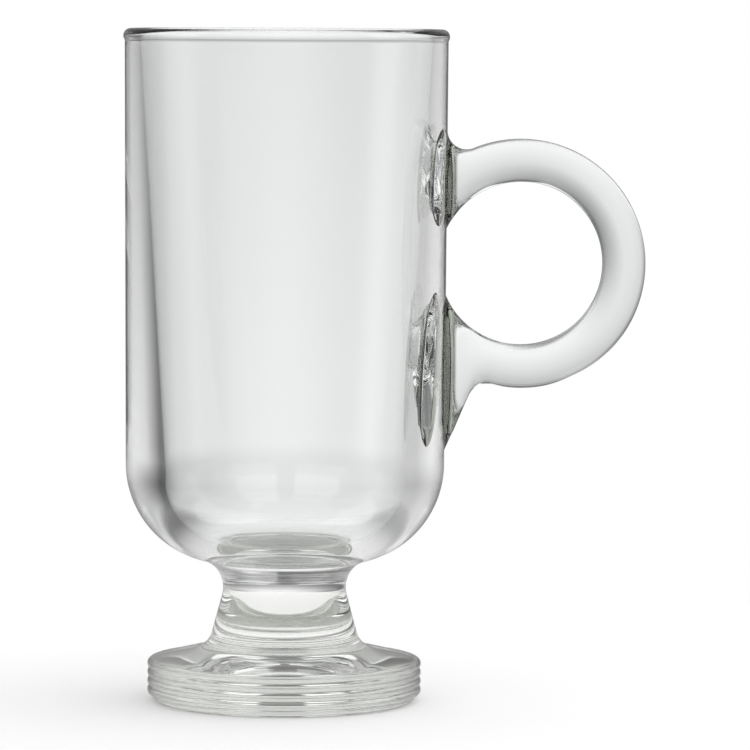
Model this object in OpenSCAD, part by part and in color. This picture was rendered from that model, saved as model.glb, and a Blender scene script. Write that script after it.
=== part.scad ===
// Irish coffee glass: a tall pressed bowl on a solid stem and a ridged foot, with a ring handle.
// Millimetres. The mug's axis is Z, the table is Z = 0 and the handle points along +X.

/* [Bowl] */
// height from the table to the top of the rim
height = 144.8; // [140:0.1:152]
// outside diameter of the rim bead
rim_d = 70; // [69:0.1:73]
// thickness of the rounded rim bead
bead_d = 3.5; // [3:0.1:4]
// how far the rim bead stands out from the wall below it
bead_proud = 0.3; // [0.2:0.05:0.5]
// how far the wall draws in from the rim down to the turn
wall_draw = 0.4; // [0:0.05:1]
// radius of the rounded underside, where the wall turns in
turn_r = 21.25; // [20:0.05:22]
// lean of the inside wall from upright, in degrees
cavity_lean = 3.4; // [2.6:0.1:3.8]
// thickness of the bottom, from the inside floor to the rounded underside
floor_t = 5.2; // [4.5:0.1:10]
// radius of the inside corner at the floor
cavity_corner_r = 14.4; // [10:0.1:18]

/* [Stem] */
// height of the neck, the narrowest place, above the top of the dome
stem_h = 12.47; // [11:0.01:14]
// diameter of the neck
neck_d = 26.5; // [24:0.1:29]
// radius of the hollow curve between bowl and stem
neck_curve_r = 6.25; // [4.5:0.05:7]
// spread of the stem from upright, in degrees
stem_spread = 15; // [12:0.5:18]

/* [Foot] */
// diameter over the ridges
foot_d = 59.1; // [56:0.1:64]
// height where the lines of the stem and the dome cross
dome_top_z = 12.1; // [11.5:0.1:12.6]
// slope of the dome, in degrees
dome_slope = 13.8; // [12:0.1:15]
// radius of the hollow curve between stem and dome
dome_curve_r = 4.4; // [3:0.1:5]
// radius of the rounded shoulder at the dome's edge
shoulder_r = 1.7; // [1.2:0.1:2]
// number of ridges around the edge
ridge_count = 4; // [2:1:4]
// distance from ridge to ridge
ridge_pitch = 1.88; // [1.7:0.02:2]
// radius of a ridge's crest
ridge_r = 1.08; // [1:0.02:1.2]
// height of the lowest ridge
ridge_low_z = 2.46; // [2.2:0.02:2.6]
// radius of the rounded heel that meets the table
heel_r = 1.5; // [1:0.1:2]
// diameter of the hollow under the foot
recess_d = 38; // [30:1:46]
// depth of the hollow under the foot
recess_depth = 1.2; // [0.6:0.1:3]

/* [Handle] */
// diameter of the finger loop
loop_d = 35.1; // [33:0.1:37]
// how far the loop's circle runs into the wall
loop_sink = 1.75; // [1.2:0.05:2.2]
// height of the ring's centre, as a share of the straight wall
ring_height_share = 0.465; // [0.44:0.001:0.49]
// width of the strap, from the loop to the outside of the ring
strap_w = 9.2; // [8:0.1:10.5]
// thickness of the strap from front to back
strap_t = 10.5; // [9:0.1:12]
// radius of the strap's long edges
strap_edge_r = 2.6; // [1:0.1:3.5]
// radius of the hollow curves where the ring leaves the pads
root_curve_r = 4; // [3:0.1:5]
// how far the gusset's lower tip is below the ring
gusset_drop = 13.85; // [12:0.05:15]
// lean of the gusset from upright, in degrees
gusset_lean = 22.8; // [20:0.2:26]
// thickness of the pads' thin rim at the end of the flare
pad_rim_t = 0.15; // [0.1:0.05:0.5]
// radius of the pads' flare towards the bowl
pad_flare_r = 2; // [1.5:0.1:2.3]
// radius of the pads' corners, seen along the handle
pad_corner_r = 5; // [3:0.1:6]

/* [Hidden] */
$fn = 240;
// rim and wall
bead_r = bead_d / 2;
lip_r = rim_d / 2 - bead_r;
lip_z = height - bead_r;
wall_top_r = rim_d / 2 - bead_proud;
wall_low_r = wall_top_r - wall_draw;

// the neck's hollow curve, and the underside's rounding that sinks a hair into it
neck_r = neck_d / 2;
neck_z = dome_top_z + stem_h;
neck_mid = [neck_r + neck_curve_r, neck_z];
turn_x = wall_low_r - turn_r;
turn_span = turn_r + neck_curve_r - neck_curve_r / 5000;
turn_z = neck_z + sqrt(pow(turn_span, 2) - pow(neck_mid[0] - turn_x, 2));
turn_mid = [turn_x, turn_z];
// the inside: middle of the corner rounding, which sinks a hair into the wall,
// and where it leaves the wall, measured from that height
corner_reach = cavity_corner_r - cavity_corner_r / 5000;
corner_z = turn_z - turn_r + floor_t + cavity_corner_r;
corner_wall_r = lip_r - bead_r - (lip_z - corner_z) * tan(cavity_lean);
corner_x = corner_wall_r - corner_reach / cos(cavity_lean);
corner_end = [corner_x + corner_reach * cos(cavity_lean), -corner_reach * sin(cavity_lean)];

// the neck's curve runs out into the stem's straight side here
stem_top = neck_mid - neck_curve_r * [cos(stem_spread), sin(stem_spread)];

// the stem's side and the dome cross here
dome_top = [stem_top[0] + (stem_top[1] - dome_top_z) * tan(stem_spread), dome_top_z];
stem_up = [-sin(stem_spread), cos(stem_spread)];
dome_down = [cos(dome_slope), -sin(dome_slope)];
dome_out = [sin(dome_slope), cos(dome_slope)];
// half the angle between stem and dome, then the hollow curve that touches both
dome_half = (90 + dome_slope + stem_spread) / 2;
dome_reach = dome_curve_r / tan(dome_half);
stem_low = dome_top + dome_reach * stem_up;
dome_start = dome_top + dome_reach * dome_down;
dome_mid = dome_start + dome_curve_r * dome_out;

// shoulder, ridges, heel and hollow of the foot
foot_r = foot_d / 2;
shoulder_mid_r = foot_r - shoulder_r;
shoulder_run = (shoulder_mid_r + shoulder_r * dome_out[0] - dome_top[0]) / dome_down[0];
dome_end = dome_top + shoulder_run * dome_down;
shoulder_mid = dome_end - shoulder_r * dome_out;
ridge_mid_r = foot_r - ridge_r;
heel_mid_r = ridge_mid_r - heel_r;
recess_r = recess_d / 2;
recess_ball_r = (pow(recess_r, 2) + pow(recess_depth, 2)) / (2 * recess_depth);

// the ring
loop_r = loop_d / 2;
ring_r = loop_r + strap_w;
ring_x = wall_top_r + loop_r - loop_sink;
ring_z = turn_z + ring_height_share * (height - turn_z);
ring_mid = [ring_x, ring_z];
// how far the hollow curves of the roots sink into the ring's outside
root_bite = strap_edge_r / 10;
root_span = ring_r + root_curve_r - root_bite;
// the roots are a little thinner than the strap, and the lower bend thinner than its gusset
root_inset = strap_edge_r / 13;
bend_inset = 3 * root_inset;
// turn, in degrees, by which the roots' bends run on inside the ring
root_bury = 12;
// upper hollow curve: touches the wall's line and runs into the ring
upper_x = wall_top_r + root_curve_r;
upper_mid = [upper_x, ring_z + sqrt(pow(root_span, 2) - pow(upper_x - ring_x, 2))];
upper_turn = atan2(ring_mid[1] - upper_mid[1], ring_mid[0] - upper_mid[0]) + 360;
// lower hollow curve: touches the gusset's line and runs into the ring
gusset_low_z = ring_z - ring_r - gusset_drop;
gusset_foot = [wall_low_r, gusset_low_z];
gusset_up = [sin(gusset_lean), cos(gusset_lean)];
gusset_out = [cos(gusset_lean), -sin(gusset_lean)];
gusset_gap = gusset_foot + root_curve_r * gusset_out - ring_mid;
gusset_along = gusset_gap * gusset_up;
gusset_run = -gusset_along - sqrt(pow(gusset_along, 2) - gusset_gap * gusset_gap + pow(root_span, 2));
gusset_top = gusset_foot + gusset_run * gusset_up;
lower_mid = gusset_top + root_curve_r * gusset_out;
lower_from = atan2(ring_mid[1] - lower_mid[1], ring_mid[0] - lower_mid[0]);
lower_to = 180 - gusset_lean;
// the pads' flat faces, and how far the pads reach into the wall before its shape is cut away
pad_half_t = strap_t / 2 + pad_flare_r;
pad_face_x = sqrt(pow(wall_top_r, 2) - pow(pad_half_t, 2)) + pad_flare_r + pad_rim_t;
pad_in_x = pad_face_x - strap_w;
// half the height of the loop's opening where it meets the wall
loop_at_wall = sqrt(pow(loop_r, 2) - pow(ring_x - wall_low_r, 2));

// half of the bowl as if it were solid, down to the neck
module bowl_solid_half() {
  wall_h = lip_z - turn_z;
  translate([0, turn_z]) {
    polygon([[0, 0], [wall_low_r, 0], [wall_top_r, wall_h], [0, wall_h]]);
    intersection() {
      translate([turn_x, 0]) circle(r = turn_r);
      translate([0, -2 * turn_r]) square([rim_d, 2 * turn_r]);
    }
  }
  difference() {
    polygon([[0, neck_z], neck_mid, turn_mid, [0, turn_z]]);
    translate(neck_mid) circle(r = neck_curve_r);
  }
}

// half of the space inside the bowl
module cavity_half() {
  side_h = lip_z - corner_z;
  translate([0, corner_z]) {
    polygon([[0, 0], [corner_x, 0], corner_end, [lip_r - bead_r, side_h], [0, side_h]]);
    translate([0, -cavity_corner_r]) square([corner_x, cavity_corner_r]);
    intersection() {
      translate([corner_x, 0]) circle(r = cavity_corner_r);
      translate([corner_x, -cavity_corner_r]) square([rim_d, cavity_corner_r]);
    }
  }
}

// half of the stem: straight side, then the start of the neck's hollow curve
module stem_half() {
  difference() {
    polygon([[0, stem_low[1]], stem_low, stem_top, neck_mid, [0, neck_z]]);
    translate(neck_mid) circle(r = neck_curve_r);
  }
}

// half of the foot
module foot_half() {
  difference() {
    union() {
      polygon([
        [0, 0], [heel_mid_r, 0], [heel_mid_r, heel_r], [ridge_mid_r, ridge_low_z],
        [ridge_mid_r, shoulder_mid[1]], shoulder_mid, dome_end, dome_start, dome_mid,
        stem_low, [0, stem_low[1]]
      ]);
      translate([heel_mid_r, heel_r]) circle(r = heel_r);
      translate(shoulder_mid) circle(r = shoulder_r);
      for (i = [0 : ridge_count - 1]) {
        translate([ridge_mid_r, ridge_low_z + i * ridge_pitch]) circle(r = ridge_r);
      }
    }
    translate(dome_mid) circle(r = dome_curve_r);
    translate([0, recess_depth - recess_ball_r]) circle(r = recess_ball_r);
  }
}

// the strap's cross-section, standing off by from_r along X, drawn in on the outside by inset
module strap_section(from_r, inset) {
  edge_r = strap_edge_r - inset;
  section_w = strap_w - 2 * inset;
  flat_w = strap_w - 2 * strap_edge_r;
  flat_t = strap_t - 2 * strap_edge_r;
  translate([from_r, -flat_t / 2]) square([section_w, flat_t]);
  translate([from_r + edge_r, inset - strap_t / 2]) square([flat_w, strap_t - 2 * inset]);
  for (x = [edge_r, section_w - edge_r]) {
    for (y = [-flat_t / 2, flat_t / 2]) {
      translate([from_r + x, y]) circle(r = edge_r);
    }
  }
}

// a cross-section carried round a centre in the handle's plane, between two angles
module bend(mid, from_angle, to_angle) {
  translate([mid[0], 0, mid[1]])
    rotate([90, 0, 0])
      rotate([0, 0, from_angle])
        rotate_extrude(angle = to_angle - from_angle) children();
}

// the strap's straight run down the gusset, from inside the ring to inside the wall
module gusset_strap() {
  section_w = strap_w - 2 * root_inset;
  translate([gusset_top[0], 0, gusset_top[1]])
    rotate([0, gusset_lean, 0])
      translate([0, 0, -gusset_run - strap_w])
        linear_extrude(height = gusset_run + 2 * strap_w) strap_section(-section_w, root_inset);
}

// outline of the upper root in the handle's plane, from inside the wall out to the ring
module upper_outline() {
  difference() {
    polygon([[pad_in_x, ring_z], ring_mid, upper_mid, [pad_in_x, upper_mid[1]]]);
    translate(upper_mid) circle(r = root_curve_r);
    translate(ring_mid) circle(r = loop_r);
  }
}

// outline of the lower root with its gusset
module lower_outline() {
  gusset_end = gusset_foot - strap_w * gusset_up;
  difference() {
    polygon([
      [pad_in_x, ring_z], ring_mid, lower_mid, gusset_top, gusset_end, [pad_in_x, gusset_end[1]]
    ]);
    translate(lower_mid) circle(r = root_curve_r);
    translate(ring_mid) circle(r = loop_r);
  }
}

// plan of a pad: as thick as the strap at its flat face, flaring out towards the bowl
module pad_plan() {
  difference() {
    translate([pad_in_x, -pad_half_t]) square([pad_face_x - pad_in_x, 2 * pad_half_t]);
    for (side = [-1, 1]) {
      translate([pad_face_x, side * pad_half_t]) circle(r = pad_flare_r);
    }
  }
}

// a pad seen along the handle: a tall plate with rounded corners
module pad_front(tall) {
  side_w = pad_half_t - pad_corner_r;
  translate([-pad_half_t, pad_corner_r]) square([2 * pad_half_t, tall - 2 * pad_corner_r]);
  translate([-side_w, 0]) square([2 * side_w, tall]);
  for (y = [-side_w, side_w]) {
    for (z = [pad_corner_r, tall - pad_corner_r]) {
      translate([y, z]) circle(r = pad_corner_r);
    }
  }
}

// a pad: its outline in the handle's plane, its flared plan and its rounded front, fitted to the wall
module pad(low_z, high_z) {
  tall = high_z - low_z;
  difference() {
    intersection() {
      translate([0, pad_half_t, 0])
        rotate([90, 0, 0])
          linear_extrude(height = 2 * pad_half_t) children();
      translate([0, 0, low_z]) linear_extrude(height = tall) pad_plan();
      translate([pad_in_x, 0, low_z])
        rotate([90, 0, 90])
          linear_extrude(height = pad_face_x - pad_in_x) pad_front(tall);
    }
    rotate_extrude() bowl_solid_half();
  }
}

module bowl() {
  color([0.86, 0.89, 0.88, 0.35])
    rotate_extrude()
      difference() {
        union() {
          bowl_solid_half();
          translate([lip_r, lip_z]) circle(r = bead_r);
        }
        cavity_half();
      }
}

module stem() {
  color([0.84, 0.88, 0.87, 0.35]) rotate_extrude() stem_half();
}

module foot() {
  color([0.82, 0.87, 0.85, 0.35]) rotate_extrude() foot_half();
}

module handle_ring() {
  color([0.88, 0.9, 0.9, 0.35])
    difference() {
      union() {
        bend(ring_mid, 0, 360) strap_section(loop_r, 0);
        bend(upper_mid, 180, upper_turn + root_bury) strap_section(root_curve_r, root_inset);
        bend(lower_mid, lower_from - root_bury, lower_to) strap_section(root_curve_r, bend_inset);
        gusset_strap();
      }
      translate([pad_face_x - 2 * ring_r, -strap_t, ring_z - 2 * ring_r])
        cube([2 * ring_r, 2 * strap_t, 4 * ring_r]);
    }
}

module upper_pad() {
  color([0.8, 0.84, 0.82, 0.35]) pad(ring_z + loop_at_wall, upper_mid[1]) upper_outline();
}

module lower_pad() {
  color([0.8, 0.84, 0.82, 0.35]) pad(gusset_low_z, ring_z - loop_at_wall) lower_outline();
}

bowl();
stem();
foot();
handle_ring();
upper_pad();
lower_pad();
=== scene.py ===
"""Looks of the Irish coffee glass: clear pressed glass on a pale studio floor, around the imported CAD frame.

The mug's sizes are in millimetres until a mesh is made, and the studio's are in metres. The mug's axis is Z,
the table is Z = 0 and the handle points along +X.
"""

import math

import bpy
import numpy as np
from mathutils import Matrix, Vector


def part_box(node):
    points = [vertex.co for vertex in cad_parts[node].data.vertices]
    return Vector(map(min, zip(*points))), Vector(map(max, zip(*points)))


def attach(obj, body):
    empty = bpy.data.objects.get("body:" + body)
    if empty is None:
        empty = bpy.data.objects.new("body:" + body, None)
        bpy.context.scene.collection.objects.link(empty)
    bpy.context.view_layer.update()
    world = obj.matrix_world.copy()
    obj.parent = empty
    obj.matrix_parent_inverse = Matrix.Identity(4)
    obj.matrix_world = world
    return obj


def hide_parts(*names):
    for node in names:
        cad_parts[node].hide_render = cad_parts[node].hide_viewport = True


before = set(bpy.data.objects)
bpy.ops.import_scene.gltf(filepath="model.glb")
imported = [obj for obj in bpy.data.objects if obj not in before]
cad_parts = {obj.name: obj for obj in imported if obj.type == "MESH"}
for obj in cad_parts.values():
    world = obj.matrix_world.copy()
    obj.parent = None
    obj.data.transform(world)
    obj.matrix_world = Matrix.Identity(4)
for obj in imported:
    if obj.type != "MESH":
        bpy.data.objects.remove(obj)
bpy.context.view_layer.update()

MM = 0.001


# sizes

def corners(cad_node):
    """Lowest and highest corner of a CAD node, in millimetres."""
    low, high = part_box(cad_node)
    return np.array(low) / MM, np.array(high) / MM


BOWL_LOW, BOWL_HIGH = corners("bowl")
FOOT_HIGH = corners("foot")[1]
RING_LOW, RING_HIGH = corners("handle_ring")

# bowl: rim bead with a soft step below it, wall, round underside, and the cavity with its corner
HEIGHT = BOWL_HIGH[2]
RIM_R = BOWL_HIGH[1]
BEAD_R = 1.75
BEAD_PROUD = 0.3
BEAD_H = 2.75
BEAD_STEP_R = 1.0
LIP_R = 1.6
WALL_DRAW = 0.4
TURN_R = 21.25
CAVITY_LEAN = math.radians(3.4)
FLOOR_T = 5.2
CORNER_R = 14.4
# stem
NECK_R = 13.25
NECK_CURVE_R = 6.25
STEM_SPREAD = math.radians(15)
# foot
DOME_TOP_Z = 12.1
DOME_SLOPE = math.radians(13.8)
DOME_CURVE_R = 4.4
SHOULDER_R = 1.7
RIDGE_COUNT = 4
RIDGE_PITCH = 1.88
RIDGE_R = 1.08
RIDGE_LOW_Z = 2.46
HEEL_R = 1.5
RECESS_R = 19.0
RECESS_DEPTH = 1.2
# handle: strap, hollow curves to the bowl, gusset, and flare of the pads
LOOP_R = 17.55
STRAP_W = 9.2
STRAP_T = 10.5
STRAP_EDGE_R = 0.9
FACE_CROWN = 0.55
EDGE_CROWN = 0.25
ROOT_CURVE_R = 4.0
GUSSET_DROP = 13.85
GUSSET_LEAN = math.radians(22.8)
PAD_FLARE = 2.0
# end of the strap's faces before a pad: rounding, turn of the line at the outlines, flare beyond the line
END_ROUND = 1.4
END_CORNER_SHARE = 0.36
END_LENGTH = 4.6
END_FLARE = 1.6
# painted shade of the strap: distances from the end line where the painted dark end starts and is full, and
# the bearing on the loop where the painted shade of its inner side is strongest
END_PAINTED_SHADE = (0.7, 0.2)
PAINTED_SHADE_ANGLE = math.radians(25)
# windows of the wall's grid round the pads: distances from the ring's middle height
WINDOW_NEAR = 3.3
WINDOW_FAR = 32.2


# steps of the meshes

# round the axis, round the strap's section, along one side of a section, and along half a corner of it
TURN_STEPS = 288
SECTION_STEPS = 192
SIDE_STEPS = SECTION_STEPS // 4
EDGE_STEPS = SIDE_STEPS // 4 - 1
# columns of a window on each side of the handle's plane
WINDOW_COLUMNS = SIDE_STEPS // 2
# rows of the ring, of its root at a pad and of a pad, and how much the root's rows crowd towards the pad
RING_ROWS = 150
ROOT_ROWS = 60
ROOT_EASE = 2.2
PAD_ROWS = 15
# rings inside a round joint, inside a handle joint, and from a window's border to the pad's print
DISC_RINGS = 3
JOINT_RINGS = 4
WINDOW_RINGS = 6
# rows of the wall between the windows and above them
GAP_ROWS = 5
RIM_ROWS = 13
# points along the other runs of the profiles
NECK_POINTS = 12
TURN_POINTS = 40
STEP_POINTS = 6
FRONT_POINTS = 4
LIP_POINTS = 14
CAVITY_POINTS = 40
CORNER_POINTS = 28
FLOOR_POINTS = 8
STEM_POINTS = 14
STEM_TOP_POINTS = 6
RECESS_POINTS = 24
REST_POINTS = 6
HEEL_POINTS = 10
LOW_RIDGE_POINTS = 17
RIDGE_POINTS = 13
SHOULDER_POINTS = 10
DOME_POINTS = 18
DOME_CURVE_POINTS = 14
# edges sharper than this stay crisp
CRISP_EDGE = math.radians(50)


# places worked out from the sizes, as (radius, height) or, on the handle, as (x, z)

LIP = np.array([RIM_R - BEAD_R, HEIGHT - BEAD_R])
WALL_TOP_R = RIM_R - BEAD_PROUD
WALL_LOW_R = WALL_TOP_R - WALL_DRAW
NECK = np.array([NECK_R + NECK_CURVE_R, BOWL_LOW[2]])
TURN_X = WALL_LOW_R - TURN_R
TURN = np.array([TURN_X, NECK[1] + math.sqrt((TURN_R + NECK_CURVE_R) ** 2 - (NECK[0] - TURN_X) ** 2)])
FLOOR_Z = TURN[1] - TURN_R + FLOOR_T
CORNER_Z = FLOOR_Z + CORNER_R
CORNER_WALL_R = LIP[0] - BEAD_R - (LIP[1] - CORNER_Z) * math.tan(CAVITY_LEAN)
CORNER = np.array([CORNER_WALL_R - CORNER_R / math.cos(CAVITY_LEAN), CORNER_Z])
CAVITY_OUT = np.array([math.cos(CAVITY_LEAN), -math.sin(CAVITY_LEAN)])

STEM_TOP = NECK - NECK_CURVE_R * np.array([math.cos(STEM_SPREAD), math.sin(STEM_SPREAD)])
DOME_TOP = np.array([STEM_TOP[0] + (STEM_TOP[1] - DOME_TOP_Z) * math.tan(STEM_SPREAD), DOME_TOP_Z])
DOME_REACH = DOME_CURVE_R / math.tan((math.pi / 2 + DOME_SLOPE + STEM_SPREAD) / 2)
DOME_DOWN = np.array([math.cos(DOME_SLOPE), -math.sin(DOME_SLOPE)])
DOME_OUT = np.array([math.sin(DOME_SLOPE), math.cos(DOME_SLOPE)])
STEM_LOW = DOME_TOP + DOME_REACH * np.array([-math.sin(STEM_SPREAD), math.cos(STEM_SPREAD)])
DOME = DOME_TOP + DOME_REACH * DOME_DOWN + DOME_CURVE_R * DOME_OUT
FOOT_R = FOOT_HIGH[1]
SHOULDER_X = FOOT_R - SHOULDER_R
SHOULDER_RUN = (SHOULDER_X + SHOULDER_R * DOME_OUT[0] - DOME_TOP[0]) / DOME_DOWN[0]
SHOULDER = DOME_TOP + SHOULDER_RUN * DOME_DOWN - SHOULDER_R * DOME_OUT
RIDGE_X = FOOT_R - RIDGE_R
HEEL = np.array([RIDGE_X - HEEL_R, HEEL_R])
RECESS_BALL_R = (RECESS_R ** 2 + RECESS_DEPTH ** 2) / (2 * RECESS_DEPTH)

RING_R = LOOP_R + STRAP_W
RING = np.array([RING_HIGH[0] - RING_R, RING_HIGH[2] - RING_R])
PAD_FACE_X = RING_LOW[0]
ROOT_SPAN = RING_R + ROOT_CURVE_R
UPPER_X = WALL_TOP_R + ROOT_CURVE_R
UPPER = np.array([UPPER_X, RING[1] + math.sqrt(ROOT_SPAN ** 2 - (UPPER_X - RING[0]) ** 2)])
GUSSET_FOOT = np.array([WALL_LOW_R, RING[1] - RING_R - GUSSET_DROP])
GUSSET_UP = np.array([math.sin(GUSSET_LEAN), math.cos(GUSSET_LEAN)])
GUSSET_OUT = np.array([math.cos(GUSSET_LEAN), -math.sin(GUSSET_LEAN)])
GUSSET_GAP = GUSSET_FOOT + ROOT_CURVE_R * GUSSET_OUT - RING
GUSSET_ALONG = GUSSET_GAP @ GUSSET_UP
GUSSET_RUN = -GUSSET_ALONG - math.sqrt(GUSSET_ALONG ** 2 - GUSSET_GAP @ GUSSET_GAP + ROOT_SPAN ** 2)
GUSSET_TOP = GUSSET_FOOT + GUSSET_RUN * GUSSET_UP
LOWER = GUSSET_TOP + ROOT_CURVE_R * GUSSET_OUT

LOWER_WINDOW = (TURN[1], RING[1] - WINDOW_NEAR)
UPPER_WINDOW = (RING[1] + WINDOW_NEAR, RING[1] + WINDOW_FAR)


def wall_r(z):
    """Outside radius of the bowl's straight wall at height z: it grows evenly by WALL_DRAW up to the lip."""
    return WALL_LOW_R + WALL_DRAW * (z - TURN[1]) / (LIP[1] - TURN[1])


# curves

def circle(centre, radius, angle):
    """Points of a circle at the given angles: centre + radius * (cos, sin)."""
    return centre + radius * np.stack([np.cos(angle), np.sin(angle)], -1)


def arc(centre, radius, start, end, count):
    """Points of a circle, the angle running evenly from start to end radians."""
    return circle(centre, radius, np.linspace(start, end, count))


def line(start, end, count):
    """Points spread evenly from start to end."""
    t = np.linspace(0, 1, count)[:, None]
    return (1 - t) * np.array(start) + t * np.array(end)


def joined(*runs):
    """Runs of points end to end, each run's first point left out where it repeats the last one."""
    parts = [runs[0]]
    for run in runs[1:]:
        same = np.allclose(run[0], parts[-1][-1], atol=1e-6)
        parts.append(run[1:] if same else run)
    return np.concatenate(parts)


def heading(from_point, to_point):
    """Angle of the direction from one point to another."""
    d = np.array(to_point) - np.array(from_point)
    return math.atan2(d[1], d[0])


def inner_shares(count):
    """Even shares between 0 and 1, both ends left out."""
    return np.linspace(0, 1, count + 2)[1:-1]


# meshes

def band_faces(index):
    """Quads between neighbouring rows and columns of point numbers; the last column meets the first."""
    index = np.concatenate([index, index[:, :1]], 1)
    quads = [index[:-1, :-1], index[:-1, 1:], index[1:, 1:], index[1:, :-1]]
    return np.stack(quads, -1).reshape(-1, 4)


def fan_faces(ring, pole):
    """Triangles from a closed ring of point numbers to one pole."""
    return np.stack([ring, np.roll(ring, -1), np.full(len(ring), pole)], 1)


class Shell:
    """Points and faces of one piece while it is put together; a face is glass or lies in a fused joint."""

    def __init__(self):
        self.points, self.count = [], 0
        self.faces, self.seams = {4: [], 3: []}, {4: [], 3: []}

    def add(self, points):
        """Keeps points, shape (..., 3), and gives back their numbers in the same shape."""
        points = np.asarray(points, float)
        number = self.count + np.arange(points[..., 0].size).reshape(points.shape[:-1])
        self.points.append(points.reshape(-1, 3))
        self.count += number.size
        return number

    def skin(self, faces, seam=False):
        """Keeps quads, shape (n, 4), or triangles, shape (n, 3)."""
        sides = faces.shape[1]
        self.faces[sides].append(faces)
        self.seams[sides].append(np.full(len(faces), seam))

    def close(self, ring, rings, pole, flip=False):
        """Closes a ring of point numbers by a fused joint: inner rings, shape (k, n, 3), and a pole."""
        table = np.concatenate([ring[None], self.add(rings)])
        if flip:
            table = table[:, ::-1]
        self.skin(band_faces(table), seam=True)
        self.skin(fan_faces(table[-1], self.add(pole)), seam=True)

    def piece(self, name, glass, joint):
        """Makes the object: unused points go, faces are turned to point outwards, seams get the joint.

        The sign of the volume tells which way the faces point: the sum of a . (b x c) over their triangles.
        """
        points = np.concatenate(self.points)
        quads, triangles = np.concatenate(self.faces[4]), np.concatenate(self.faces[3])
        seam = np.concatenate(self.seams[4] + self.seams[3])
        split = np.concatenate([quads[:, [0, 1, 2]], quads[:, [0, 2, 3]], triangles])
        a, b, c = (points[split[:, k]] for k in range(3))
        if np.einsum("ij,ij->", a, np.cross(b, c)) < 0:
            quads, triangles = quads[:, ::-1], triangles[:, ::-1]
        used, number = np.unique(np.concatenate([quads.ravel(), triangles.ravel()]), return_inverse=True)
        quads, triangles = number[:quads.size].reshape(-1, 4), number[quads.size:].reshape(-1, 3)
        mesh = bpy.data.meshes.new(name)
        mesh.from_pydata(points[used] * MM, [], quads.tolist() + triangles.tolist())
        mesh.materials.append(glass)
        mesh.materials.append(joint)
        mesh.polygons.foreach_set("material_index", seam.astype(np.int32))
        mesh.polygons.foreach_set("use_smooth", np.ones(len(mesh.polygons), bool))
        mesh.update()
        mesh.set_sharp_from_angle(angle=CRISP_EDGE)
        piece = bpy.data.objects.new(name, mesh)
        bpy.context.scene.collection.objects.link(piece)
        return piece


def tube(surface, first_end, last_end):
    """Shell of a surface, shape (rows, n, 3), closed by a joint at each end; an end is its rings and pole."""
    shell = Shell()
    index = shell.add(surface)
    shell.skin(band_faces(index))
    shell.close(index[0], *first_end, flip=True)
    shell.close(index[-1], *last_end)
    return shell


def turned(profile):
    """A profile of (radius, height) carried round the axis: (r cos t, r sin t, z), t from 0 in even steps."""
    t = np.arange(TURN_STEPS) * 2 * math.pi / TURN_STEPS
    r, z = profile[:, 0, None], profile[:, 1, None]
    return np.stack([r * np.cos(t), r * np.sin(t), z + 0 * t], -1)


def disc(r, z):
    """Inner rings and pole of a flat disc of radius r at height z."""
    radii = r * (1 - inner_shares(DISC_RINGS))
    return turned(np.stack([radii, np.full(DISC_RINGS, z)], 1)), np.array([0, 0, z])


# strap of the handle

def section(half_w, half_t):
    """Rounded rectangle of the strap as offsets (a, b) from its middle, SECTION_STEPS points per row.

    It starts in the middle of the outside edge (a = +half_w) and goes round over b = +half_t. Each side has
    SIDE_STEPS intervals: half a corner, a flat run and half a corner. The inputs are one value per row.
    """
    turn_steps, flat_steps = 2 * EDGE_STEPS, SIDE_STEPS // 2 - EDGE_STEPS
    ones, run = np.ones(flat_steps), np.arange(flat_steps) / flat_steps
    turn_ones = np.ones(turn_steps)
    # a quarter: up the outside edge, round the corner, and in along the face
    along_w = np.concatenate([ones, turn_ones, 1 - run])
    along_t = np.concatenate([run, turn_ones, ones])
    angle = np.concatenate([0 * ones, np.arange(turn_steps) / turn_steps, ones]) * math.pi / 2
    half_w, half_t = half_w[:, None], half_t[:, None]
    a = along_w * (half_w - STRAP_EDGE_R) + STRAP_EDGE_R * np.cos(angle)
    b = along_t * (half_t - STRAP_EDGE_R) + STRAP_EDGE_R * np.sin(angle)
    first = np.stack([a, b], -1)
    # the second quarter mirrors the first backwards, the other half mirrors both
    face_middle = np.stack([0 * half_t, half_t], -1)
    upper = np.concatenate([first, face_middle, first[:, :0:-1] * [-1, 1]], 1)
    loop_middle = np.stack([-half_w, 0 * half_w], -1)
    return np.concatenate([upper, loop_middle, upper[:, :0:-1] * [1, -1]], 1)


def strap(inner, outer):
    """Strap surface: at each row a section laid from the inner outline to the outer one, across the handle.

    The section's offset a runs along the line between the two outline points in the XZ plane and b along Y.
    Faces and edges are slightly crowned: b shrinks with (a / half width)^2, a with (b / half thickness)^2.
    """
    middle, half = (inner + outer) / 2, (outer - inner) / 2
    half_w, half_t = np.linalg.norm(half, axis=1), STRAP_T / 2
    offset = section(half_w, np.full(len(half_w), half_t))
    share_a, share_b = offset[..., 0] / half_w[:, None], offset[..., 1] / half_t
    crowned_a = share_a * (1 - EDGE_CROWN / half_w[:, None] * share_b ** 2)
    crowned_b = offset[..., 1] * (1 - FACE_CROWN / half_t * share_a ** 2)
    x = middle[:, :1] + half[:, :1] * crowned_a
    z = middle[:, 1:] + half[:, 1:] * crowned_a
    return np.stack([x, crowned_b, z], -1)


def upper_root(share):
    """Inner and outer outline from the ring (share 0) to the pad's flat face (share 1), at the top.

    The inner one follows the loop's circle and the outer one the hollow curve, each by even angles.
    """
    turn = heading(RING, UPPER)
    loop_end = math.acos((PAD_FACE_X - RING[0]) / LOOP_R)
    bend_from = turn - math.pi
    bend_to = -math.acos((PAD_FACE_X - UPPER[0]) / ROOT_CURVE_R)
    inner = circle(RING, LOOP_R, turn + share * (loop_end - turn))
    outer = circle(UPPER, ROOT_CURVE_R, bend_from + share * (bend_to - bend_from))
    return inner, outer


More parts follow.
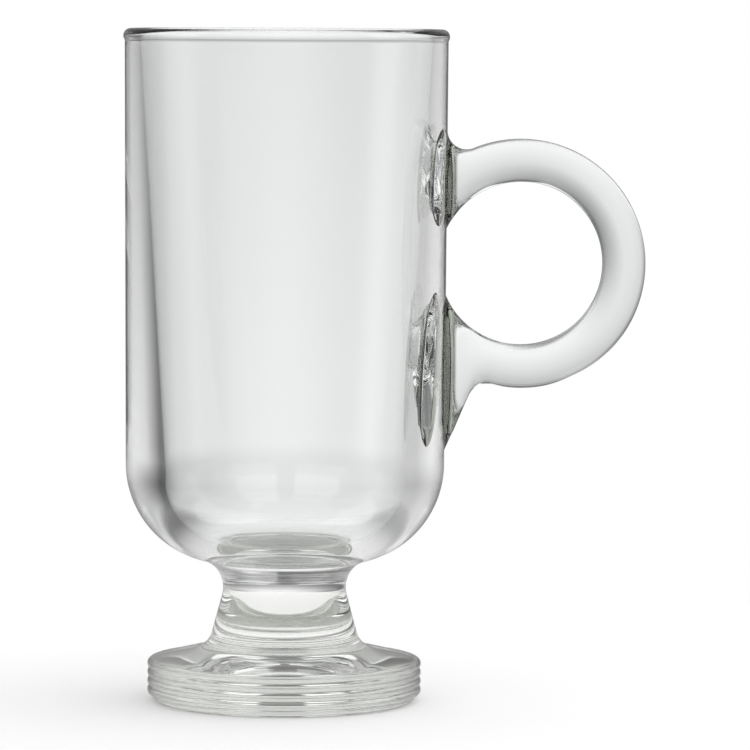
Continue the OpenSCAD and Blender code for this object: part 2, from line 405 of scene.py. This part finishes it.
def lower_root(share):
    """The same at the bottom: the outer outline follows the hollow curve, then the gusset straight down."""
    turn = heading(RING, LOWER)
    loop_end = -math.acos((PAD_FACE_X - RING[0]) / LOOP_R)
    bend_from, bend_to = turn + math.pi, math.pi - GUSSET_LEAN
    bend_run = ROOT_CURVE_R * (bend_to - bend_from)
    line_run = (GUSSET_TOP[0] - PAD_FACE_X) / GUSSET_UP[0]
    run = share * (bend_run + line_run)
    bend = bend_from + np.minimum(run, bend_run) / ROOT_CURVE_R
    down = np.maximum(run - bend_run, 0)[:, None]
    inner = circle(RING, LOOP_R, turn + share * (loop_end - turn))
    outer = circle(LOWER, ROOT_CURVE_R, bend) - down * GUSSET_UP
    return inner, outer


def ring_outlines():
    """Inner and outer outline of the strap, from the upper pad's face round the ring to the lower pad's face.

    The rows crowd towards the pads: 1 - (1 - t) ^ ROOT_EASE of the way for an even t.
    """
    share = 1 - (1 - np.linspace(0, 1, ROOT_ROWS)) ** ROOT_EASE
    angle = np.linspace(heading(RING, UPPER), heading(RING, LOWER), RING_ROWS)[1:-1]
    upper_in, upper_out = upper_root(share[::-1])
    lower_in, lower_out = lower_root(share)
    inner = np.concatenate([upper_in, circle(RING, LOOP_R, angle), lower_in])
    outer = np.concatenate([upper_out, circle(RING, RING_R, angle), lower_out])
    return inner, outer


def ring_surface():
    """Surface of the ring, and the share of painted shade at each of its points, by how far it lies beyond
    the end of the strap's faces.

    Near the pads the strap's faces end in a rounding of END_ROUND, so the end reads as a crisp line. At the
    strap's outlines the line turns away from the pad along a quarter ellipse: END_CORNER_SHARE of the half
    width across the strap and END_LENGTH along X. Beyond the line the face flares out again towards the pad.
    The second result is painted shade, a dark end line and dark glass past it: 0 on the face and 1 beyond the
    line, over the two distances of the end's painted shade.
    """
    inner, outer = ring_outlines()
    surface = strap(inner, outer)
    middle, half = (inner + outer) / 2, (outer - inner) / 2
    half_w_squared = np.einsum("ik,ik->i", half, half)[:, None]
    across = np.abs(np.einsum("ijk,ik->ij", surface[..., [0, 2]] - middle[:, None], half)) / half_w_squared
    corner = np.clip(1 - (1 - across) / END_CORNER_SHARE, 0, 1)
    away = surface[..., 0] - PAD_FACE_X - END_LENGTH * (1 - np.sqrt(1 - corner ** 2))
    near = np.clip(1 - away / END_ROUND, 0, 1)
    past = np.clip(-away / END_LENGTH, 0, 1)
    change = END_FLARE * (1 - np.sqrt(1 - past ** 2)) - END_ROUND * (1 - np.sqrt(1 - near ** 2))
    surface[..., 1] *= 1 + change / (STRAP_T / 2)
    # painted shade: a dark line at the strap's end and dark glass past it, as a share from 0 to 1
    start, full = END_PAINTED_SHADE
    return surface, np.clip((start - away) / (start - full), 0, 1)


def strap_painted_shade(surface):
    """Share of painted shade on the strap's inner side: 0 outside its middle circle, 1 at the loop, fading
    away from the bearing of the painted shade.

    It is (middle radius - radius) / half the width, times the square of the cosine to that bearing.
    """
    # painted shade: darker towards the loop, strongest at one bearing
    x, z = surface[..., 0] - RING[0], surface[..., 2] - RING[1]
    radius = np.hypot(x, z)
    towards = np.clip((x * math.cos(PAINTED_SHADE_ANGLE) + z * math.sin(PAINTED_SHADE_ANGLE)) / radius, 0, 1)
    return np.clip(((LOOP_R + RING_R) / 2 - radius) / (STRAP_W / 2), 0, 1) * towards ** 2


def ring_to_pole(ring):
    """Inner rings and pole of a flat closed ring of points, drawn in evenly to its middle."""
    pole = (ring.min(0) + ring.max(0)) / 2
    return ring + inner_shares(JOINT_RINGS)[:, None, None] * (pole - ring), pole


def ring_piece(surface, beyond, glass, joint):
    """The ring; its attribute "shade" holds painted shade on the strap's inner side and past its ends, where
    the glass's tint is darkened.
    """
    ends = ring_to_pole(surface[0]), ring_to_pole(surface[-1])
    piece = tube(surface, *ends).piece("handle_ring_glass", glass, joint)
    shade = np.zeros(len(piece.data.vertices))
    # painted shade: the darker of the inner side's shade and the end's shade
    shade[:beyond.size] = np.maximum(strap_painted_shade(surface), beyond).ravel()
    piece.data.attributes.new("shade", "FLOAT", "POINT").data.foreach_set("value", shade)
    return piece


# pads of the handle

def pad_surface(face, upper):
    """Pad surface from the strap's end (row 0) to the bowl's wall (last row), shape (PAD_ROWS, n, 3).

    Each point leaves the flat face for the wall. Across the handle it flares along a quarter ellipse, up and
    down it follows the hollow curve, the gusset or the loop, and the section turns into an ellipse.
    """
    u = np.sin(np.linspace(0, math.pi / 2, PAD_ROWS))
    x = PAD_FACE_X + u * (wall_r(face[:, 2].mean()) - PAD_FACE_X)
    loop_half = np.sqrt(LOOP_R ** 2 - (x - RING[0]) ** 2)
    if upper:
        sign = 1
        curve_x = PAD_FACE_X + u * (WALL_TOP_R - PAD_FACE_X) - UPPER[0]
        outer_z = UPPER[1] - np.sqrt(np.maximum(ROOT_CURVE_R ** 2 - curve_x ** 2, 0))
    else:
        sign = -1
        outer_z = GUSSET_FOOT[1] + (x - GUSSET_FOOT[0]) / math.tan(GUSSET_LEAN)
    inner_z = RING[1] + sign * loop_half
    start_t = face[:, 1].max()
    half_t = start_t + (STRAP_T / 2 + PAD_FLARE - start_t) * (1 - np.sqrt(1 - u ** 2))
    half_w = np.abs(outer_z - inner_z) / 2
    plain = section(half_w, half_t)
    size = np.stack([half_w, half_t], -1)[:, None]
    share = plain / size
    angle = np.arctan2(share[..., 1], share[..., 0])
    plain += (size * circle(0, 1, angle) - plain) * u[:, None, None]
    # the first row is the strap's own end; its difference from the plain section fades out
    middle_z = (outer_z + inner_z) / 2
    own = np.stack([sign * (face[:, 2] - middle_z[0]), face[:, 1]], 1)
    offset = plain + (own - plain[0]) * (1 - u)[:, None, None]
    y = offset[..., 1]
    z = middle_z[:, None] + sign * offset[..., 0]
    wall_x = np.sqrt(wall_r(z) ** 2 - y ** 2)
    return np.stack([PAD_FACE_X + u[:, None] * (wall_x - PAD_FACE_X), y, z], -1)


def on_wall(angle, z):
    """Points of the bowl's straight wall at the given angles and heights."""
    return np.stack([wall_r(z) * np.cos(angle), wall_r(z) * np.sin(angle), z + 0 * angle], -1)


def wall_print(ring):
    """Angle and height on the wall of a pad's last row: the angle's sine is y / wall radius."""
    return np.arcsin(ring[:, 1] / wall_r(ring[:, 2])), ring[:, 2]


def print_to_pole(ring):
    """Inner rings and pole of the fused joint between a pad and the wall, lying on the wall."""
    angle, z = wall_print(ring)
    t = inner_shares(JOINT_RINGS)[:, None]
    middle = (z.min() + z.max()) / 2
    return on_wall(angle * (1 - t), z + t * (middle - z)), on_wall(0.0, middle)


def pad_piece(name, surface, glass, joint):
    """A pad, closed by a joint at the strap's end and by one on the wall."""
    return tube(surface, ring_to_pole(surface[0]), print_to_pole(surface[-1])).piece(name, glass, joint)


# bowl

def bowl_profile():
    """Profile from the neck up the outside, over the rim and down the inside, short of the floor's middle.

    The second result is the first row of the lower window and of the upper one.
    """
    touch = heading(NECK, TURN)
    step_turn = math.acos(1 - BEAD_PROUD / (2 * BEAD_STEP_R))
    step = np.array([WALL_TOP_R + BEAD_STEP_R, HEIGHT - BEAD_H])
    bead_low = np.array([RIM_R - BEAD_STEP_R, step[1] + 2 * BEAD_STEP_R * math.sin(step_turn)])
    lip_z = HEIGHT - LIP_R
    lip_out = np.array([RIM_R - LIP_R, lip_z])
    lip_in_r = LIP[0] + (LIP_R - BEAD_R) / math.cos(CAVITY_LEAN) + (lip_z - LIP[1]) * math.tan(CAVITY_LEAN)
    lip_in = np.array([lip_in_r, lip_z])
    outside_low = joined(
        arc(NECK, NECK_CURVE_R, math.pi, touch, NECK_POINTS),
        arc(TURN, TURN_R, touch - math.pi, 0, TURN_POINTS),
    )
    wall_z = np.concatenate([
        np.linspace(*LOWER_WINDOW, SIDE_STEPS + 1)[1:],
        np.linspace(LOWER_WINDOW[1], UPPER_WINDOW[0], GAP_ROWS + 1)[1:],
        np.linspace(*UPPER_WINDOW, SIDE_STEPS + 1)[1:],
        np.linspace(UPPER_WINDOW[1], step[1], RIM_ROWS + 1)[1:],
    ])
    lower_row = len(outside_low) - 1
    upper_row = lower_row + SIDE_STEPS + GAP_ROWS
    profile = joined(
        outside_low,
        np.stack([wall_r(wall_z), wall_z], 1),
        arc(step, BEAD_STEP_R, math.pi, math.pi - step_turn, STEP_POINTS),
        arc(bead_low, BEAD_STEP_R, -step_turn, 0, STEP_POINTS),
        line([RIM_R, bead_low[1]], [RIM_R, lip_z], FRONT_POINTS),
        arc(lip_out, LIP_R, 0, math.pi / 2, LIP_POINTS),
        arc(lip_in, LIP_R, math.pi / 2, math.pi - CAVITY_LEAN, LIP_POINTS),
        line(lip_in - LIP_R * CAVITY_OUT, CORNER + CORNER_R * CAVITY_OUT, CAVITY_POINTS),
        arc(CORNER, CORNER_R, -CAVITY_LEAN, -math.pi / 2, CORNER_POINTS),
        line([CORNER[0], FLOOR_Z], [0, FLOOR_Z], FLOOR_POINTS)[:-1],
    )
    return profile, (lower_row, upper_row)


def window_border(index, first_row, upper):
    """Point numbers round a window of the wall's grid, in the order of a strap section."""
    across = np.arange(-WINDOW_COLUMNS, WINDOW_COLUMNS + 1)
    top, bottom = index[first_row + SIDE_STEPS, across], index[first_row, across]
    right = index[first_row:first_row + SIDE_STEPS + 1, WINDOW_COLUMNS]
    left = index[first_row:first_row + SIDE_STEPS + 1, -WINDOW_COLUMNS]
    start, end = (top, bottom) if upper else (bottom, top)
    if upper:
        right, left = right[::-1], left[::-1]
    half = WINDOW_COLUMNS
    return np.concatenate([start[half:-1], right[:-1], end[:0:-1], left[:0:-1], start[:half]])


def bowl_piece(glass, joint, upper_print, lower_print):
    """The bowl: its profile carried round the axis, with a fused joint at the neck and at each pad.

    Two windows of the wall's grid are filled by rings that run evenly, in angle and height, from the window's
    border to a pad's print, and the print is closed as a joint.
    """
    profile, (lower_row, upper_row) = bowl_profile()
    shell = Shell()
    index = shell.add(turned(profile))
    keep = np.ones((len(profile) - 1, TURN_STEPS), bool)
    for first_row in (lower_row, upper_row):
        keep[first_row:first_row + SIDE_STEPS, np.arange(-WINDOW_COLUMNS, WINDOW_COLUMNS)] = False
    shell.skin(band_faces(index)[keep.ravel()])
    shell.skin(fan_faces(index[-1], shell.add([0, 0, FLOOR_Z])))
    shell.close(index[0], *disc(*profile[0]), flip=True)
    points = np.concatenate(shell.points)
    t = inner_shares(WINDOW_RINGS)[:, None]
    for first_row, print_ring, upper in ((upper_row, upper_print, True), (lower_row, lower_print, False)):
        border = window_border(index, first_row, upper)
        x, y, edge_z = points[border].T
        edge_angle = np.arctan2(y, x)
        print_angle, print_z = wall_print(print_ring)
        rings = on_wall(edge_angle + t * (print_angle - edge_angle), edge_z + t * (print_z - edge_z))
        table = np.concatenate([border[None], shell.add(rings), shell.add(print_ring)[None]])
        shell.skin(band_faces(table[:, ::-1] if upper else table))
        shell.close(table[-1], *print_to_pole(print_ring), flip=upper)
    return shell.piece("bowl_glass_body", glass, joint)


# stem and foot

def stem_piece(glass, joint):
    """The stem: a straight spread side, then the start of the neck's hollow curve."""
    profile = joined(
        line(STEM_LOW, STEM_TOP, STEM_POINTS),
        arc(NECK, NECK_CURVE_R, math.pi + STEM_SPREAD, math.pi, STEM_TOP_POINTS),
    )
    return tube(turned(profile), disc(*profile[0]), disc(*profile[-1])).piece("stem_glass_body", glass, joint)


def shoulder_crossing(ridge):
    """The upper of the two points where the circles of a ridge and of the shoulder cross.

    Along the line between the centres it lies at (d^2 + ridge^2 - shoulder^2) / 2d, beside it at the root of
    the ridge's radius squared less that squared.
    """
    gap = SHOULDER - ridge
    apart = np.linalg.norm(gap)
    way = gap / apart
    along = (apart ** 2 + RIDGE_R ** 2 - SHOULDER_R ** 2) / (2 * apart)
    aside = math.sqrt(max(RIDGE_R ** 2 - along ** 2, 0)) * np.array([-way[1], way[0]])
    return ridge + along * way + aside * math.copysign(1, aside[1])


def foot_profile():
    """Profile of the foot: recess, resting ring, heel, ridges, shoulder and dome, up to the stem."""
    low_ridge, *ridges, top_ridge = [
        np.array([RIDGE_X, RIDGE_LOW_Z + RIDGE_PITCH * k]) for k in range(RIDGE_COUNT)
    ]
    half = math.asin(RIDGE_PITCH / 2 / RIDGE_R)
    crossing = shoulder_crossing(top_ridge)
    recess_turn = math.asin(RECESS_R / RECESS_BALL_R)
    ball = np.array([0, RECESS_DEPTH - RECESS_BALL_R])
    return joined(
        arc(ball, RECESS_BALL_R, math.pi / 2, math.pi / 2 - recess_turn, RECESS_POINTS)[1:],
        line([RECESS_R, 0], [HEEL[0], 0], REST_POINTS),
        arc(HEEL, HEEL_R, -math.pi / 2, heading(HEEL, low_ridge - [0, RIDGE_R]), HEEL_POINTS),
        arc(low_ridge, RIDGE_R, -math.pi / 2, half, LOW_RIDGE_POINTS),
        *(arc(ridge, RIDGE_R, -half, half, RIDGE_POINTS) for ridge in ridges),
        arc(top_ridge, RIDGE_R, -half, heading(top_ridge, crossing), RIDGE_POINTS),
        arc(SHOULDER, SHOULDER_R, heading(SHOULDER, crossing), math.pi / 2 - DOME_SLOPE, SHOULDER_POINTS),
        line(DOME_TOP + SHOULDER_RUN * DOME_DOWN, DOME_TOP + DOME_REACH * DOME_DOWN, DOME_POINTS),
        arc(DOME, DOME_CURVE_R, -math.pi / 2 - DOME_SLOPE, -math.pi + STEM_SPREAD, DOME_CURVE_POINTS),
    )


def foot_piece(glass, joint):
    """The foot: its profile carried round the axis, with a fused joint at the stem."""
    profile = foot_profile()
    shell = Shell()
    index = shell.add(turned(profile))
    shell.skin(band_faces(index))
    shell.skin(fan_faces(index[0][::-1], shell.add([0, 0, RECESS_DEPTH])))
    shell.close(index[-1], *disc(*profile[-1]))
    return shell.piece("foot_glass_body", glass, joint)


# shader nodes

def node(tree, kind, **settings):
    """A new node with its own settings; inputs are set by the caller."""
    made = tree.nodes.new(kind)
    for key, value in settings.items():
        setattr(made, key, value)
    return made


def fill(tree, socket, value):
    """Links an input to another node's output, or sets it to a plain value."""
    if isinstance(value, bpy.types.NodeSocket):
        tree.links.new(value, socket)
    else:
        socket.default_value = value


def feed(tree, into, **values):
    """Fills a node's inputs by name, _ standing for a space."""
    for name, value in values.items():
        fill(tree, into.inputs[name.replace("_", " ")], value)


def math_node(tree, operation, *values):
    """The result of a math node over outputs or plain numbers."""
    made = node(tree, "ShaderNodeMath", operation=operation)
    for socket, value in zip(made.inputs, values):
        fill(tree, socket, value)
    return made.outputs[0]


def times(tree, a, b):
    """Product of two levels."""
    return math_node(tree, "MULTIPLY", a, b)


def blend(tree, factor, a, b, **settings):
    """a where the factor is 0 and b where it is 1; levels, unless the settings ask for colours."""
    made = node(tree, "ShaderNodeMix", **settings)
    feed(tree, made, Factor=factor, A=a, B=b)
    return made.outputs["Result"]


def ramp(tree, value, low, high, bottom, top, way="LINEAR"):
    """A level that goes evenly from bottom to top while the value goes from low to high."""
    made = node(tree, "ShaderNodeMapRange", interpolation_type=way)
    feed(tree, made, Value=value, From_Min=low, From_Max=high, To_Min=bottom, To_Max=top)
    return made.outputs["Result"]


def smooth(tree, value, low, high, bottom, top):
    """The same with soft ends: 3 t^2 - 2 t^3."""
    return ramp(tree, value, low, high, bottom, top, way="SMOOTHSTEP")


def within(tree, value, start, full, end, gone):
    """1 while the value lies between full and end, softly down to 0 at start and gone."""
    return times(tree, smooth(tree, value, start, full, 0.0, 1.0), smooth(tree, value, end, gone, 1.0, 0.0))


def noise(tree, where, scale, detail):
    """Noise from 0 to 1 over the given coordinates."""
    made = node(tree, "ShaderNodeTexNoise")
    feed(tree, made, Vector=where, Scale=scale, Detail=detail)
    return made.outputs["Fac"]


def new_material(name):
    """A material with its node tree and its main shader."""
    material = bpy.data.materials.new(name)
    material.use_nodes = True
    return material, material.node_tree, material.node_tree.nodes["Principled BSDF"]


# glass

GLASS_IOR = 1.52
# detail of the slow waves and of the fine skin, scale of the skin, and its share of the relief
WAVE_DETAIL = 1.5
SKIN_DETAIL = 3.0
SKIN_SCALE = 420.0
SKIN_SHARE = 0.03
# lowest roughness, what a speck adds to it, and where a speck's edge starts and ends
POLISH = 0.004
SPECK_ROUGHNESS = 0.12
SPECK_EDGE = (0.02, 0.06)
# relief of the waves at full strength, in metres
RELIEF_DEPTH = 0.001


def pressed_glass_group():
    """Surface of pressed, fire-polished glass: slow waves, a fine skin, and a few specks.

    Inputs: Wave Scale, Skin Scale, Clear and Cast (two tints), Polish (the lowest roughness).
    Outputs: Tint, Roughness and Height. The waves mix the tints, the specks add roughness, and the height is
    the waves plus a small share of the skin.
    """
    tree = bpy.data.node_groups.new("pressed glass", "ShaderNodeTree")
    number, colour = "NodeSocketFloat", "NodeSocketColor"
    for name, kind in (("Wave Scale", number), ("Skin Scale", number), ("Clear", colour), ("Cast", colour),
                       ("Polish", number)):
        tree.interface.new_socket(name, in_out="INPUT", socket_type=kind)
    for name, kind in (("Tint", colour), ("Roughness", number), ("Height", number)):
        tree.interface.new_socket(name, in_out="OUTPUT", socket_type=kind)
    given = node(tree, "NodeGroupInput").outputs
    where = node(tree, "ShaderNodeTexCoord").outputs["Object"]
    wave = noise(tree, where, given["Wave Scale"], WAVE_DETAIL)
    skin = noise(tree, where, given["Skin Scale"], SKIN_DETAIL)
    specks = node(tree, "ShaderNodeTexVoronoi", feature="F1")
    feed(tree, specks, Vector=where, Scale=given["Skin Scale"])
    speck = smooth(tree, specks.outputs["Distance"], *SPECK_EDGE, 1.0, 0.0)
    feed(
        tree,
        node(tree, "NodeGroupOutput"),
        Tint=blend(tree, wave, given["Clear"], given["Cast"], data_type="RGBA"),
        Roughness=math_node(tree, "MULTIPLY_ADD", speck, SPECK_ROUGHNESS, given["Polish"]),
        Height=math_node(tree, "MULTIPLY_ADD", skin, SKIN_SHARE, wave),
    )
    return tree


def glass_material(name, surface, clear, cast, wave_scale, relief, painted_shade_tint=None):
    """Clear glass over the shared pressed-glass surface; the last argument, if given, is the painted-shade
    colour its tint is multiplied by where the attribute "shade" is 1.
    """
    material, tree, shader = new_material(name)
    feed(tree, shader, Transmission_Weight=1.0, Metallic=0.0, IOR=GLASS_IOR)
    group = node(tree, "ShaderNodeGroup", node_tree=surface)
    feed(tree, group, Wave_Scale=wave_scale, Skin_Scale=SKIN_SCALE, Polish=POLISH)
    feed(tree, group, Clear=(*clear, 1.0), Cast=(*cast, 1.0))
    bump = node(tree, "ShaderNodeBump")
    feed(tree, bump, Strength=relief, Distance=RELIEF_DEPTH, Height=group.outputs["Height"])
    tint = group.outputs["Tint"]
    # painted shade: where the mesh's attribute says so, the tint is multiplied down towards a dark colour
    if painted_shade_tint:
        shade = node(tree, "ShaderNodeAttribute", attribute_name="shade").outputs["Fac"]
        tint = blend(tree, shade, tint, (*painted_shade_tint, 1.0), data_type="RGBA", blend_type="MULTIPLY")
    feed(tree, shader, Base_Color=tint, Roughness=group.outputs["Roughness"], Normal=bump.outputs["Normal"])
    return material


def fused_material():
    """The fused joint between two pieces: light passes as if nothing were there."""
    material, tree, shader = new_material("fused joint")
    tree.nodes.remove(shader)
    clear = node(tree, "ShaderNodeBsdfTransparent")
    feed(tree, tree.nodes["Material Output"], Surface=clear.outputs["BSDF"])
    return material


# studio table, in metres

# half its side, its drop below the resting ring, and the distances over which it fades into the white
TABLE_HALF = 0.25
TABLE_DROP = 0.00005
TABLE_FADE = (0.11, 0.24)
# scale, detail and levels of the mottling
MOTTLE_SCALE = 6.0
MOTTLE_DETAIL = 2.0
MOTTLE_LEVELS = (0.985, 0.995)
# painted shade on the table, shown only through glass: x where each side starts to darken and is darkest, its
# level there; and the table's level in reflections, painted shade as well
TABLE_LEFT_PAINTED_SHADE, TABLE_LEFT_PAINTED_SHADE_LEVEL = (-0.03, -0.085), 0.18
TABLE_RIGHT_PAINTED_SHADE, TABLE_RIGHT_PAINTED_SHADE_LEVEL = (0.03, 0.085), 0.4
TABLE_SHADE_IN_REFLECTIONS = 0.5


def table_material():
    """Matt pale table with the faintest mottling; painted shade darkens its sides where glass shows it, and
    all of it in reflections.
    """
    material, tree, shader = new_material("pale table")
    where = node(tree, "ShaderNodeTexCoord").outputs["Object"]
    mottle = ramp(tree, noise(tree, where, MOTTLE_SCALE, MOTTLE_DETAIL), 0.0, 1.0, *MOTTLE_LEVELS)
    split = node(tree, "ShaderNodeSeparateXYZ")
    feed(tree, split, Vector=where)
    x = split.outputs["X"]
    # painted shade on the table's left and right, for rays through the glass
    sides = times(tree, smooth(tree, x, *TABLE_LEFT_PAINTED_SHADE, 1.0, TABLE_LEFT_PAINTED_SHADE_LEVEL),
                  smooth(tree, x, *TABLE_RIGHT_PAINTED_SHADE, 1.0, TABLE_RIGHT_PAINTED_SHADE_LEVEL))
    path = node(tree, "ShaderNodeLightPath").outputs
    seen = blend(tree, path["Is Transmission Ray"], 1.0, sides)
    # painted shade: the table at a lower level in reflections
    seen = blend(tree, path["Is Reflection Ray"], seen, TABLE_SHADE_IN_REFLECTIONS)
    # the table runs out softly into the white of the studio
    away = node(tree, "ShaderNodeVectorMath", operation="LENGTH")
    feed(tree, away, Vector=where)
    fade = smooth(tree, away.outputs["Value"], *TABLE_FADE, 1.0, 0.0)
    feed(tree, shader, Roughness=1.0, Specular_IOR_Level=0.0, Alpha=fade)
    feed(tree, shader, Base_Color=times(tree, mottle, seen))
    return material


def studio_table():
    """A wide table, a hair below the mug's resting ring."""
    half, z = TABLE_HALF, -TABLE_DROP
    mesh = bpy.data.meshes.new("studio_floor")
    corner_points = [(-half, -half, z), (half, -half, z), (half, half, z), (-half, half, z)]
    mesh.from_pydata(corner_points, [], [(0, 1, 2, 3)])
    mesh.materials.append(table_material())
    floor = bpy.data.objects.new("studio_floor", mesh)
    bpy.context.scene.collection.objects.link(floor)


# studio light, in degrees: bearing is measured from the mug's Y axis, positive towards the handle, and
# elevation from the horizon; a level of 1 is white

# backdrop: elevations between which it dims, and its levels there
LOWER_BACKDROP = (-12, 0)
LOWER_LEVELS = (1.04, 0.82)
UPPER_BACKDROP = (0, 12)
UPPER_LEVELS = (1.0, 0.57)
# cards: bearings where each starts to dim, is full, starts to end and is gone; its level; and the elevations
# where it fades in
CARDS = (
    ((-4, -33, -66, -82), 0.45, (-22, -2)),
    ((-33, -55, -66, -82), 0.2, (-24, -16)),
    ((13, 42, 64, 80), 0.6, (-24, -16)),
)
# ceiling: elevations where it starts and is full
OVERHEAD = (20, 26)
OVERHEAD_LEVEL = 0.2
# dark walls on both sides: bearings where they start and are full, elevations from start to gone
SIDE_BEARINGS = (66, 72)
SIDE_HEIGHTS = (4, 9, 46, 56)
SIDE_LEVEL = 0.06
# light panels overhead: bearings and elevations where each one starts, is full, starts to end and is gone
PANELS = (((9, 13, 62, 68), (22, 26, 68, 74)), ((-68, -62, -13, -9), (22, 26, 50, 54)))
PANEL_LEVEL = 1.25
# what glass reflects from the front and, at glancing angles, from behind; y of the direction between the two
GLOSS_LEVELS = (0.42, 0.28)
GLOSS_FACING = (-0.2, 0.5)
# light on the table from the far left and from the far right
TABLE_LIGHT = (0.6, 1.56)


def seen_in_glass(tree, bearing, elevation):
    """Level that the glass shows: a backdrop that dims upwards, grey cards, dark sides, panels overhead."""
    seen = times(tree, ramp(tree, elevation, *LOWER_BACKDROP, *LOWER_LEVELS),
                 ramp(tree, elevation, *UPPER_BACKDROP, *UPPER_LEVELS))
    for (near, far, end, gone), level, fade in CARDS:
        card = ramp(tree, bearing, near, far, 1.0, level)
        card = blend(tree, smooth(tree, bearing, end, gone, 0.0, 1.0), card, 1.0)
        seen = times(tree, seen, blend(tree, smooth(tree, elevation, *fade, 0.0, 1.0), 1.0, card))
    seen = blend(tree, smooth(tree, elevation, *OVERHEAD, 0.0, 1.0), seen, OVERHEAD_LEVEL)
    aside = smooth(tree, math_node(tree, "ABSOLUTE", bearing), *SIDE_BEARINGS, 0.0, 1.0)
    seen = blend(tree, times(tree, aside, within(tree, elevation, *SIDE_HEIGHTS)), seen, SIDE_LEVEL)
    for across, up in PANELS:
        panel = times(tree, within(tree, bearing, *across), within(tree, elevation, *up))
        seen = blend(tree, panel, seen, PANEL_LEVEL)
    return seen


def studio_light():
    """White behind all; the table is lit mostly from the right, and glass shows the studio's own levels."""
    world = bpy.data.worlds.new("studio")
    bpy.context.scene.world = world
    world.use_nodes = True
    tree = world.node_tree
    split = node(tree, "ShaderNodeSeparateXYZ")
    feed(tree, split, Vector=node(tree, "ShaderNodeTexCoord").outputs["Generated"])
    x, y, z = (split.outputs[axis] for axis in "XYZ")
    bearing = math_node(tree, "DEGREES", math_node(tree, "ARCTAN2", x, math_node(tree, "ABSOLUTE", y)))
    elevation = math_node(tree, "DEGREES", math_node(tree, "ARCSINE", z))
    path = node(tree, "ShaderNodeLightPath").outputs
    # only rays that have not met the table yet show the studio in the glass
    direct = math_node(tree, "LESS_THAN", path["Diffuse Depth"], 1)
    through = times(tree, path["Is Transmission Ray"], direct)
    reflected = times(tree, path["Is Reflection Ray"], direct)
    level = blend(tree, path["Is Camera Ray"], ramp(tree, x, -1, 1, *TABLE_LIGHT), 1.0)
    level = blend(tree, through, level, seen_in_glass(tree, bearing, elevation))
    level = blend(tree, reflected, level, smooth(tree, y, *GLOSS_FACING, *GLOSS_LEVELS))
    feed(tree, tree.nodes["Background"], Color=(1, 1, 1, 1), Strength=level)


# studio camera, in metres; the photograph is taken to be 750 by 750 pixels

CAMERA_AT = np.array([0.0193, -1.090, 0.152])
CAMERA_PITCH = math.radians(4.276)
CAMERA_ROLL = math.radians(0.32)
CAMERA_NEAR = 0.01
CAMERA_FOCAL_PX = 5076
PHOTO_PX = 750


def studio_camera():
    """The photograph's camera: level with the rim, looking slightly down, with a small roll."""
    lens = bpy.data.cameras.new("photo_camera")
    lens.lens = lens.sensor_width * CAMERA_FOCAL_PX / PHOTO_PX
    lens.clip_start = CAMERA_NEAR
    camera = bpy.data.objects.new("photo_camera", lens)
    bpy.context.scene.collection.objects.link(camera)
    right, up = np.array([1, 0, 0]), np.array([0, math.sin(CAMERA_PITCH), math.cos(CAMERA_PITCH)])
    back = np.array([0, -math.cos(CAMERA_PITCH), math.sin(CAMERA_PITCH)])
    rolled_right = right * math.cos(CAMERA_ROLL) + up * math.sin(CAMERA_ROLL)
    rolled_up = up * math.cos(CAMERA_ROLL) - right * math.sin(CAMERA_ROLL)
    turn = Matrix(np.stack([rolled_right, rolled_up, back], 1).tolist()).to_4x4()
    camera.matrix_world = Matrix.Translation(CAMERA_AT.tolist()) @ turn
    bpy.context.scene.camera = camera


# the mug

pressed = pressed_glass_group()
fused = fused_material()
bowl_glass = glass_material(
    "bowl glass", pressed, clear=(0.953, 0.96, 0.956), cast=(0.943, 0.952, 0.947), wave_scale=38.0,
    relief=0.025
)
stem_glass = glass_material(
    "stem glass", pressed, clear=(0.98, 0.988, 0.963), cast=(0.97, 0.98, 0.953), wave_scale=45.0,
    relief=0.02
)
foot_glass = glass_material(
    "foot glass", pressed, clear=(0.965, 0.98, 0.948), cast=(0.95, 0.967, 0.933), wave_scale=55.0,
    relief=0.02
)
# the handle's glass darkens its tint with painted shade on the strap
handle_glass = glass_material(
    "handle glass", pressed, clear=(0.9, 0.912, 0.906), cast=(0.89, 0.904, 0.897), wave_scale=45.0,
    relief=0.008, painted_shade_tint=(0.27, 0.29, 0.28)
)
pad_glass = glass_material(
    "pad glass", pressed, clear=(0.52, 0.55, 0.46), cast=(0.46, 0.49, 0.4), wave_scale=60.0,
    relief=0.012
)

ring, ring_end_painted_shade = ring_surface()
upper_pad, lower_pad = pad_surface(ring[0], upper=True), pad_surface(ring[-1], upper=False)
pieces = (
    (ring_piece(ring, ring_end_painted_shade, handle_glass, fused), "handle_ring", "handle_glass"),
    (pad_piece("upper_pad_glass", upper_pad, pad_glass, fused), "upper_pad", "pad_glass"),
    (pad_piece("lower_pad_glass", lower_pad, pad_glass, fused), "lower_pad", "pad_glass"),
    (bowl_piece(bowl_glass, fused, upper_pad[-1], lower_pad[-1]), "bowl", "bowl_glass"),
    (stem_piece(stem_glass, fused), "stem", "stem_glass"),
    (foot_piece(foot_glass, fused), "foot", "foot_glass"),
)
for piece, cad_node, slot in pieces:
    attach(piece, "root")
    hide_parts(cad_node)


# the studio

# bounces that light needs through the walls, off the glass, and through the fused joints
GLASS_BOUNCES = 32
GLOSS_BOUNCES = 16
JOINT_BOUNCES = 48

studio_table()
studio_light()
studio_camera()

scene = bpy.context.scene
scene.view_settings.view_transform = "Standard"
scene.cycles.max_bounces = GLASS_BOUNCES
scene.cycles.transmission_bounces = GLASS_BOUNCES
scene.cycles.glossy_bounces = GLOSS_BOUNCES
scene.cycles.transparent_max_bounces = JOINT_BOUNCES
